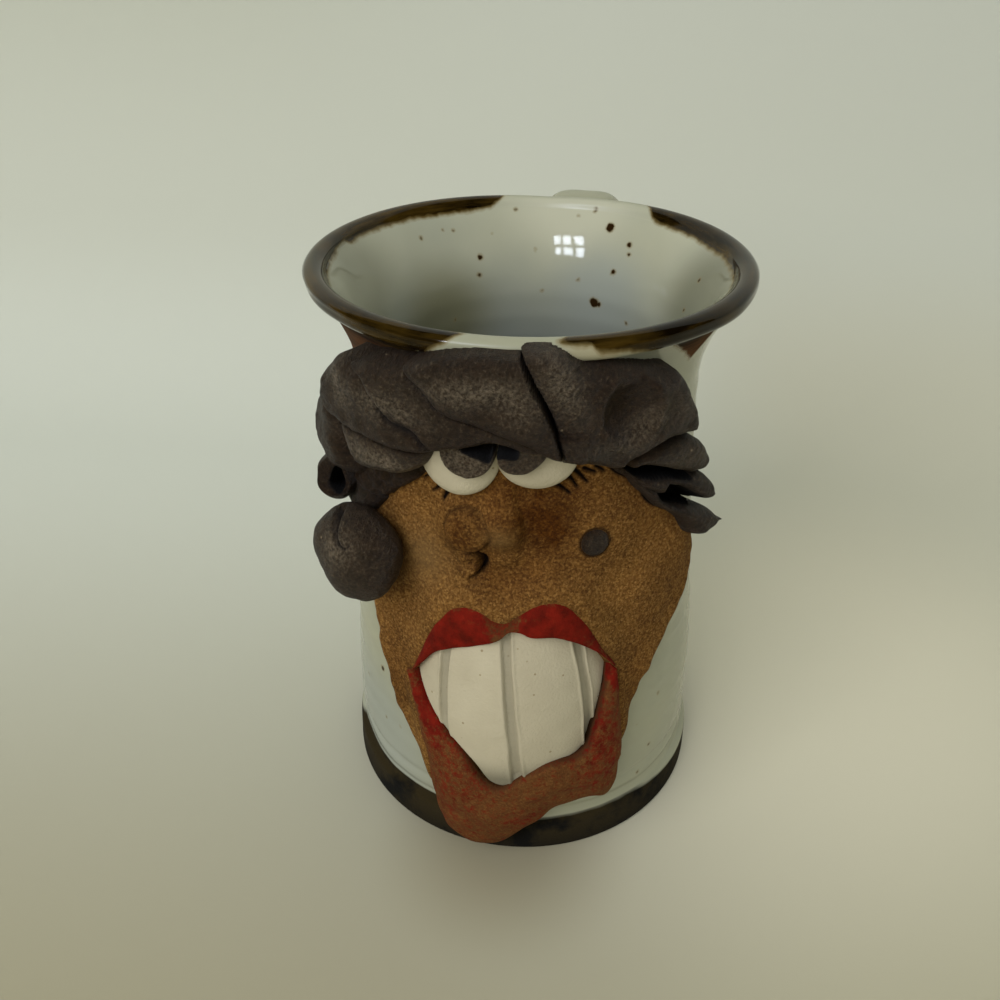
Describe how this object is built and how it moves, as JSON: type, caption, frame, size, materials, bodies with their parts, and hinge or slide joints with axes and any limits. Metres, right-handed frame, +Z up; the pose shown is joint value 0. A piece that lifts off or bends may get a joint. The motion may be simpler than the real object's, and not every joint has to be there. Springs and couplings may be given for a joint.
{
  "type": "face mug",
  "caption": "Handled stoneware mug with a flared rim and a comic face in applied clay: dark rolled hair, white eyes, an open mouth with big teeth.",
  "frame": {"origin": "centre of the foot, on the table, on the axis the mug was thrown about", "axes": "+Z up through the mouth, -Y the way the face looks, +X to the right of someone looking at the face; the handle is behind, 9 degrees from +Y towards +X"},
  "size_m": [0.0904, 0.1223, 0.128],
  "materials": {
    "glazed_stoneware": "glossy grey-white glaze with iron specks, brown on the rim, bare dark foot",
    "brown_clay": "bare warm brown groggy clay, matte",
    "dark_clay": "bare dark brown clay, matte with a soft sheen",
    "white_clay": "bare warm white clay, matte",
    "red_slip": "red slip brushed over brown clay, matte"
  },
  "bodies": {
    "root": {"mug_body": "glazed_stoneware", "handle": "glazed_stoneware", "hair_fold_right": "dark_clay", "hair_lobe_crown_left": "dark_clay", "hair_lobe_temple_left": "dark_clay", "hair_lobe_brow_left": "dark_clay", "hair_lobe_side_left": "dark_clay", "hair_lobe_back_left": "dark_clay", "hair_curl_right_upper": "dark_clay", "hair_curl_right_middle": "dark_clay", "hair_curl_right_lower": "dark_clay", "hair_ringlet_left": "dark_clay", "hair_ball_left": "dark_clay", "hair_ball_flap_left": "dark_clay", "hair_stem_left": "dark_clay", "pupil_left": "dark_clay", "pupil_right": "dark_clay", "eyeball_left": "white_clay", "eyeball_right": "white_clay", "nose": "brown_clay", "nostril_left": "brown_clay", "upper_lip": "red_slip", "lower_lip": "red_slip", "beauty_spot": "dark_clay", "teeth": "white_clay", "face_slab": "brown_clay"}
  },
  "joints": []
}
